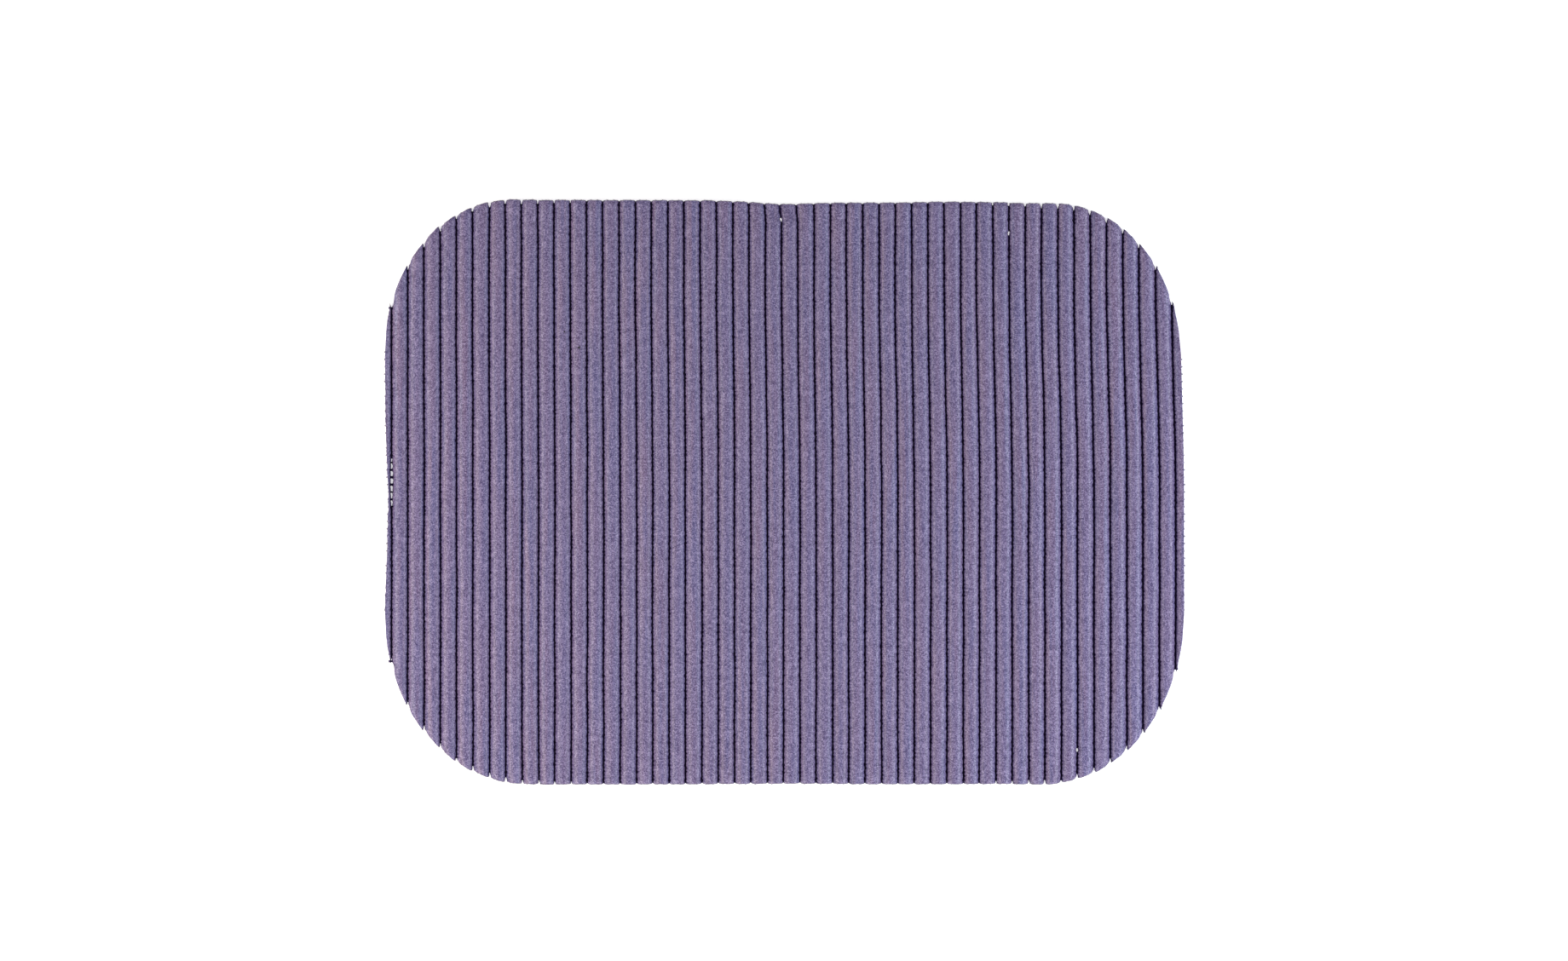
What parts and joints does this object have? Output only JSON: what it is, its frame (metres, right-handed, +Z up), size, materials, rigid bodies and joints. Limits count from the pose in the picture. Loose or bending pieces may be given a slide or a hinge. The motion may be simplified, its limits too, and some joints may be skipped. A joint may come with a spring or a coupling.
{
  "type": "kneeling pad",
  "caption": "Rectangular kneeling pad of ribbed foam matting with large rounded corners; it bends and rolls up along its grooves.",
  "frame": {"origin": "middle of the pad's underside, on the surface it lies on", "axes": "+X across the ribs, +Y along the ribs towards the edge with the smaller corners, +Z up out of the ribbed top"},
  "size_m": [0.41, 0.3, 0.0075],
  "materials": {
    "foam": "matte"
  },
  "bodies": {
    "rib_01": {"rib_01": "foam"},
    "rib_02": {"rib_02": "foam"},
    "rib_03": {"rib_03": "foam"},
    "rib_04": {"rib_04": "foam"},
    "rib_05": {"rib_05": "foam"},
    "rib_06": {"rib_06": "foam"},
    "rib_07": {"rib_07": "foam"},
    "rib_08": {"rib_08": "foam"},
    "rib_09": {"rib_09": "foam"},
    "rib_10": {"rib_10": "foam"},
    "rib_11": {"rib_11": "foam"},
    "rib_12": {"rib_12": "foam"},
    "rib_13": {"rib_13": "foam"},
    "rib_14": {"rib_14": "foam"},
    "rib_15": {"rib_15": "foam"},
    "rib_16": {"rib_16": "foam"},
    "rib_17": {"rib_17": "foam"},
    "rib_18": {"rib_18": "foam"},
    "rib_19": {"rib_19": "foam"},
    "rib_20": {"rib_20": "foam"},
    "rib_21": {"rib_21": "foam"},
    "rib_22": {"rib_22": "foam"},
    "rib_23": {"rib_23": "foam"},
    "rib_24": {"rib_24": "foam"},
    "rib_25": {"rib_25": "foam"},
    "rib_26": {"rib_26": "foam"},
    "rib_27": {"rib_27": "foam"},
    "rib_28": {"rib_28": "foam"},
    "rib_29": {"rib_29": "foam"},
    "rib_30": {"rib_30": "foam"},
    "rib_31": {"rib_31": "foam"},
    "rib_32": {"rib_32": "foam"},
    "rib_33": {"rib_33": "foam"},
    "rib_34": {"rib_34": "foam"},
    "rib_35": {"rib_35": "foam"},
    "rib_36": {"rib_36": "foam"},
    "rib_37": {"rib_37": "foam"},
    "rib_38": {"rib_38": "foam"},
    "rib_39": {"rib_39": "foam"},
    "rib_40": {"rib_40": "foam"},
    "rib_41": {"rib_41": "foam"},
    "rib_42": {"rib_42": "foam"},
    "rib_43": {"rib_43": "foam"},
    "rib_44": {"rib_44": "foam"},
    "rib_45": {"rib_45": "foam"},
    "rib_46": {"rib_46": "foam"},
    "rib_47": {"rib_47": "foam"},
    "rib_48": {"rib_48": "foam"},
    "rib_49": {"rib_49": "foam"},
    "rib_50": {"rib_50": "foam"}
  },
  "joints": [
    {"name": "groove_01", "type": "hinge", "parent": "rib_01", "child": "rib_02", "pos_m": [-0.2016, 0, 0.0028], "axis": [0, -1, 0], "range_deg": [0, 10.4], "stiffness_Nm_per_rad": 0.01},
    {"name": "groove_02", "type": "hinge", "parent": "rib_02", "child": "rib_03", "pos_m": [-0.19322, 0, 0.0028], "axis": [0, -1, 0], "range_deg": [0, 10.5], "stiffness_Nm_per_rad": 0.01},
    {"name": "groove_03", "type": "hinge", "parent": "rib_03", "child": "rib_04", "pos_m": [-0.18484, 0, 0.0028], "axis": [0, -1, 0], "range_deg": [0, 10.6], "stiffness_Nm_per_rad": 0.01},
    {"name": "groove_04", "type": "hinge", "parent": "rib_04", "child": "rib_05", "pos_m": [-0.17646, 0, 0.0028], "axis": [0, -1, 0], "range_deg": [0, 10.6], "stiffness_Nm_per_rad": 0.01},
    {"name": "groove_05", "type": "hinge", "parent": "rib_05", "child": "rib_06", "pos_m": [-0.16808, 0, 0.0028], "axis": [0, -1, 0], "range_deg": [0, 10.7], "stiffness_Nm_per_rad": 0.01},
    {"name": "groove_06", "type": "hinge", "parent": "rib_06", "child": "rib_07", "pos_m": [-0.1597, 0, 0.0028], "axis": [0, -1, 0], "range_deg": [0, 10.8], "stiffness_Nm_per_rad": 0.01},
    {"name": "groove_07", "type": "hinge", "parent": "rib_07", "child": "rib_08", "pos_m": [-0.15132, 0, 0.0028], "axis": [0, -1, 0], "range_deg": [0, 10.8], "stiffness_Nm_per_rad": 0.01},
    {"name": "groove_08", "type": "hinge", "parent": "rib_08", "child": "rib_09", "pos_m": [-0.14295, 0, 0.0028], "axis": [0, -1, 0], "range_deg": [0, 10.9], "stiffness_Nm_per_rad": 0.01},
    {"name": "groove_09", "type": "hinge", "parent": "rib_09", "child": "rib_10", "pos_m": [-0.13457, 0, 0.0028], "axis": [0, -1, 0], "range_deg": [0, 11], "stiffness_Nm_per_rad": 0.01},
    {"name": "groove_10", "type": "hinge", "parent": "rib_10", "child": "rib_11", "pos_m": [-0.12619, 0, 0.0028], "axis": [0, -1, 0], "range_deg": [0, 11.1], "stiffness_Nm_per_rad": 0.01},
    {"name": "groove_11", "type": "hinge", "parent": "rib_11", "child": "rib_12", "pos_m": [-0.11781, 0, 0.0028], "axis": [0, -1, 0], "range_deg": [0, 11.1], "stiffness_Nm_per_rad": 0.01},
    {"name": "groove_12", "type": "hinge", "parent": "rib_12", "child": "rib_13", "pos_m": [-0.10943, 0, 0.0028], "axis": [0, -1, 0], "range_deg": [0, 11.2], "stiffness_Nm_per_rad": 0.01},
    {"name": "groove_13", "type": "hinge", "parent": "rib_13", "child": "rib_14", "pos_m": [-0.10105, 0, 0.0028], "axis": [0, -1, 0], "range_deg": [0, 11.3], "stiffness_Nm_per_rad": 0.01},
    {"name": "groove_14", "type": "hinge", "parent": "rib_14", "child": "rib_15", "pos_m": [-0.09267, 0, 0.0028], "axis": [0, -1, 0], "range_deg": [0, 11.4], "stiffness_Nm_per_rad": 0.01},
    {"name": "groove_15", "type": "hinge", "parent": "rib_15", "child": "rib_16", "pos_m": [-0.08429, 0, 0.0028], "axis": [0, -1, 0], "range_deg": [0, 11.4], "stiffness_Nm_per_rad": 0.01},
    {"name": "groove_16", "type": "hinge", "parent": "rib_16", "child": "rib_17", "pos_m": [-0.07591, 0, 0.0028], "axis": [0, -1, 0], "range_deg": [0, 11.5], "stiffness_Nm_per_rad": 0.01},
    {"name": "groove_17", "type": "hinge", "parent": "rib_17", "child": "rib_18", "pos_m": [-0.06753, 0, 0.0028], "axis": [0, -1, 0], "range_deg": [0, 11.6], "stiffness_Nm_per_rad": 0.01},
    {"name": "groove_18", "type": "hinge", "parent": "rib_18", "child": "rib_19", "pos_m": [-0.05915, 0, 0.0028], "axis": [0, -1, 0], "range_deg": [0, 11.7], "stiffness_Nm_per_rad": 0.01},
    {"name": "groove_19", "type": "hinge", "parent": "rib_19", "child": "rib_20", "pos_m": [-0.05078, 0, 0.0028], "axis": [0, -1, 0], "range_deg": [0, 11.8], "stiffness_Nm_per_rad": 0.01},
    {"name": "groove_20", "type": "hinge", "parent": "rib_20", "child": "rib_21", "pos_m": [-0.0424, 0, 0.0028], "axis": [0, -1, 0], "range_deg": [0, 11.9], "stiffness_Nm_per_rad": 0.01},
    {"name": "groove_21", "type": "hinge", "parent": "rib_21", "child": "rib_22", "pos_m": [-0.03402, 0, 0.0028], "axis": [0, -1, 0], "range_deg": [0, 12], "stiffness_Nm_per_rad": 0.01},
    {"name": "groove_22", "type": "hinge", "parent": "rib_22", "child": "rib_23", "pos_m": [-0.02564, 0, 0.0028], "axis": [0, -1, 0], "range_deg": [0, 12.1], "stiffness_Nm_per_rad": 0.01},
    {"name": "groove_23", "type": "hinge", "parent": "rib_23", "child": "rib_24", "pos_m": [-0.01726, 0, 0.0028], "axis": [0, -1, 0], "range_deg": [0, 12.2], "stiffness_Nm_per_rad": 0.01},
    {"name": "groove_24", "type": "hinge", "parent": "rib_24", "child": "rib_25", "pos_m": [-0.00888, 0, 0.0028], "axis": [0, -1, 0], "range_deg": [0, 12.3], "stiffness_Nm_per_rad": 0.01},
    {"name": "groove_25", "type": "hinge", "parent": "rib_25", "child": "rib_26", "pos_m": [-0.0005, 0, 0.0028], "axis": [0, -1, 0], "range_deg": [0, 12.4], "stiffness_Nm_per_rad": 0.01},
    {"name": "groove_26", "type": "hinge", "parent": "rib_26", "child": "rib_27", "pos_m": [0.00788, 0, 0.0028], "axis": [0, -1, 0], "range_deg": [0, 12.5], "stiffness_Nm_per_rad": 0.01},
    {"name": "groove_27", "type": "hinge", "parent": "rib_27", "child": "rib_28", "pos_m": [0.01626, 0, 0.0028], "axis": [0, -1, 0], "range_deg": [0, 12.6], "stiffness_Nm_per_rad": 0.01},
    {"name": "groove_28", "type": "hinge", "parent": "rib_28", "child": "rib_29", "pos_m": [0.02464, 0, 0.0028], "axis": [0, -1, 0], "range_deg": [0, 12.7], "stiffness_Nm_per_rad": 0.01},
    {"name": "groove_29", "type": "hinge", "parent": "rib_29", "child": "rib_30", "pos_m": [0.03302, 0, 0.0028], "axis": [0, -1, 0], "range_deg": [0, 12.8], "stiffness_Nm_per_rad": 0.01},
    {"name": "groove_30", "type": "hinge", "parent": "rib_30", "child": "rib_31", "pos_m": [0.0414, 0, 0.0028], "axis": [0, -1, 0], "range_deg": [0, 12.9], "stiffness_Nm_per_rad": 0.01},
    {"name": "groove_31", "type": "hinge", "parent": "rib_31", "child": "rib_32", "pos_m": [0.04977, 0, 0.0028], "axis": [0, -1, 0], "range_deg": [0, 13.1], "stiffness_Nm_per_rad": 0.01},
    {"name": "groove_32", "type": "hinge", "parent": "rib_32", "child": "rib_33", "pos_m": [0.05815, 0, 0.0028], "axis": [0, -1, 0], "range_deg": [0, 13.2], "stiffness_Nm_per_rad": 0.01},
    {"name": "groove_33", "type": "hinge", "parent": "rib_33", "child": "rib_34", "pos_m": [0.06653, 0, 0.0028], "axis": [0, -1, 0], "range_deg": [0, 13.3], "stiffness_Nm_per_rad": 0.01},
    {"name": "groove_34", "type": "hinge", "parent": "rib_34", "child": "rib_35", "pos_m": [0.07491, 0, 0.0028], "axis": [0, -1, 0], "range_deg": [0, 13.4], "stiffness_Nm_per_rad": 0.01},
    {"name": "groove_35", "type": "hinge", "parent": "rib_35", "child": "rib_36", "pos_m": [0.08329, 0, 0.0028], "axis": [0, -1, 0], "range_deg": [0, 13.6], "stiffness_Nm_per_rad": 0.01},
    {"name": "groove_36", "type": "hinge", "parent": "rib_36", "child": "rib_37", "pos_m": [0.09167, 0, 0.0028], "axis": [0, -1, 0], "range_deg": [0, 13.7], "stiffness_Nm_per_rad": 0.01},
    {"name": "groove_37", "type": "hinge", "parent": "rib_37", "child": "rib_38", "pos_m": [0.10005, 0, 0.0028], "axis": [0, -1, 0], "range_deg": [0, 13.9], "stiffness_Nm_per_rad": 0.01},
    {"name": "groove_38", "type": "hinge", "parent": "rib_38", "child": "rib_39", "pos_m": [0.10843, 0, 0.0028], "axis": [0, -1, 0], "range_deg": [0, 14], "stiffness_Nm_per_rad": 0.01},
    {"name": "groove_39", "type": "hinge", "parent": "rib_39", "child": "rib_40", "pos_m": [0.11681, 0, 0.0028], "axis": [0, -1, 0], "range_deg": [0, 14.2], "stiffness_Nm_per_rad": 0.01},
    {"name": "groove_40", "type": "hinge", "parent": "rib_40", "child": "rib_41", "pos_m": [0.12519, 0, 0.0028], "axis": [0, -1, 0], "range_deg": [0, 14.3], "stiffness_Nm_per_rad": 0.01},
    {"name": "groove_41", "type": "hinge", "parent": "rib_41", "child": "rib_42", "pos_m": [0.13357, 0, 0.0028], "axis": [0, -1, 0], "range_deg": [0, 14.5], "stiffness_Nm_per_rad": 0.01},
    {"name": "groove_42", "type": "hinge", "parent": "rib_42", "child": "rib_43", "pos_m": [0.14195, 0, 0.0028], "axis": [0, -1, 0], "range_deg": [0, 14.7], "stiffness_Nm_per_rad": 0.01},
    {"name": "groove_43", "type": "hinge", "parent": "rib_43", "child": "rib_44", "pos_m": [0.15032, 0, 0.0028], "axis": [0, -1, 0], "range_deg": [0, 14.9], "stiffness_Nm_per_rad": 0.01},
    {"name": "groove_44", "type": "hinge", "parent": "rib_44", "child": "rib_45", "pos_m": [0.1587, 0, 0.0028], "axis": [0, -1, 0], "range_deg": [0, 15], "stiffness_Nm_per_rad": 0.01},
    {"name": "groove_45", "type": "hinge", "parent": "rib_45", "child": "rib_46", "pos_m": [0.16708, 0, 0.0028], "axis": [0, -1, 0], "range_deg": [0, 15.2], "stiffness_Nm_per_rad": 0.01},
    {"name": "groove_46", "type": "hinge", "parent": "rib_46", "child": "rib_47", "pos_m": [0.17546, 0, 0.0028], "axis": [0, -1, 0], "range_deg": [0, 15.4], "stiffness_Nm_per_rad": 0.01},
    {"name": "groove_47", "type": "hinge", "parent": "rib_47", "child": "rib_48", "pos_m": [0.18384, 0, 0.0028], "axis": [0, -1, 0], "range_deg": [0, 15.6], "stiffness_Nm_per_rad": 0.01},
    {"name": "groove_48", "type": "hinge", "parent": "rib_48", "child": "rib_49", "pos_m": [0.19222, 0, 0.0028], "axis": [0, -1, 0], "range_deg": [0, 15.8], "stiffness_Nm_per_rad": 0.01},
    {"name": "groove_49", "type": "hinge", "parent": "rib_49", "child": "rib_50", "pos_m": [0.2006, 0, 0.0028], "axis": [0, -1, 0], "range_deg": [0, 16.1], "stiffness_Nm_per_rad": 0.01}
  ]
}
